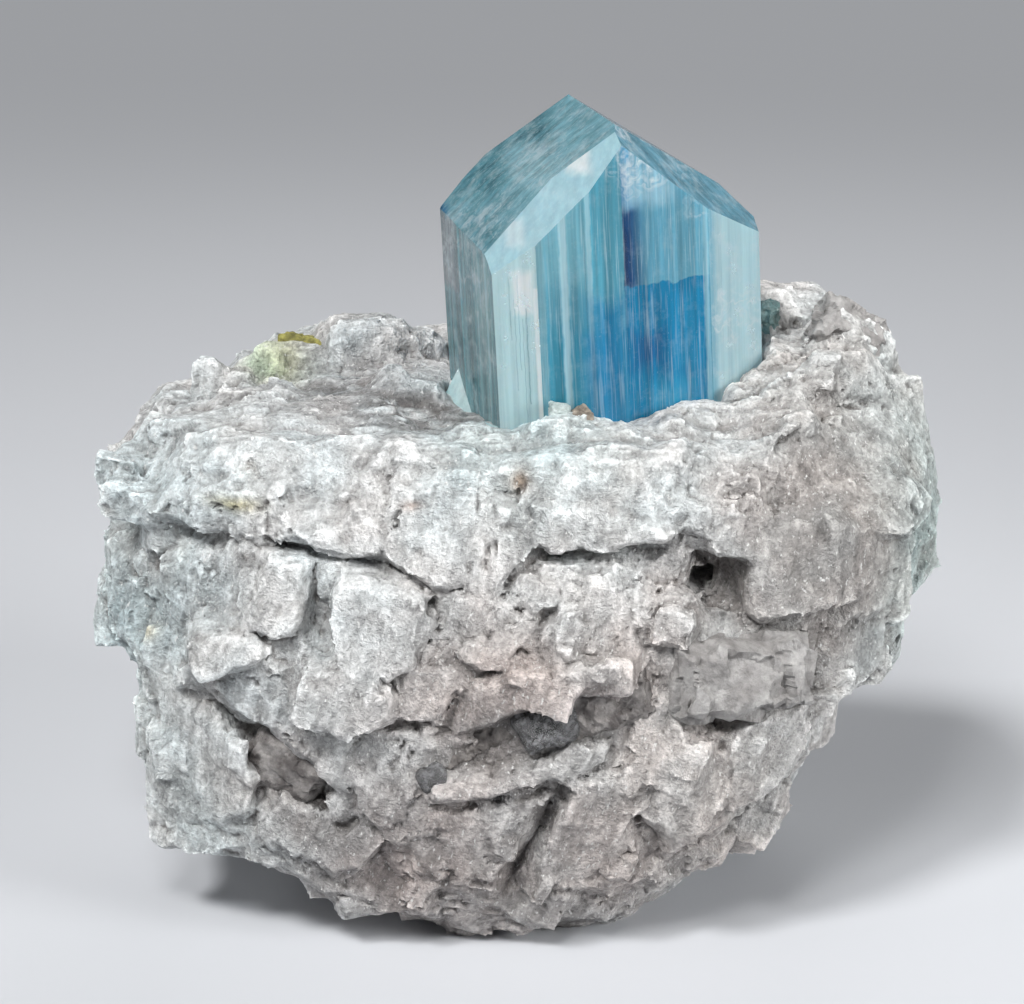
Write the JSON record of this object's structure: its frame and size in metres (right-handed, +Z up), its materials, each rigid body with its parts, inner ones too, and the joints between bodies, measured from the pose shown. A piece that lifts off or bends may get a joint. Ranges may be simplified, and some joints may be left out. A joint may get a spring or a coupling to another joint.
{
  "type": "euclase crystal on matrix",
  "caption": "Blue euclase crystal with slanted roof faces, standing on a rough block of pale feldspar matrix that rests on its flat cut base.",
  "frame": {"origin": "middle of the bounding box, on the flat cut base", "axes": "+Z up from the base, +X to the right and +Y away from the viewer when the crystal's broad front faces are in front"},
  "size_m": [0.0854, 0.0514, 0.0803],
  "materials": {
    "feldspar": "rough cleavage steps with pearly flats",
    "euclase": "natural crystal faces, glassy, some lightly etched",
    "beryl": "greasy sheen",
    "tan_grain": "dull",
    "grey_quartz": "glassy broken faces",
    "clear_quartz": "glassy broken faces, part milky",
    "black_ore": "bright metallic cleavage",
    "yellow_crust": "powdery"
  },
  "bodies": {
    "root": {"feldspar_matrix": "feldspar", "euclase_crystal": "euclase", "euclase_rear_crystal": "euclase", "foot_prism": "beryl", "foot_grain": "tan_grain", "quartz_seam_left": "grey_quartz", "quartz_seam_right": "grey_quartz", "ore_grain": "black_ore", "ore_speck": "black_ore", "smoky_quartz_left": "grey_quartz", "quartz_block": "clear_quartz", "quartz_plate": "clear_quartz", "quartz_point": "grey_quartz", "yellow_crust": "yellow_crust"}
  },
  "joints": []
}
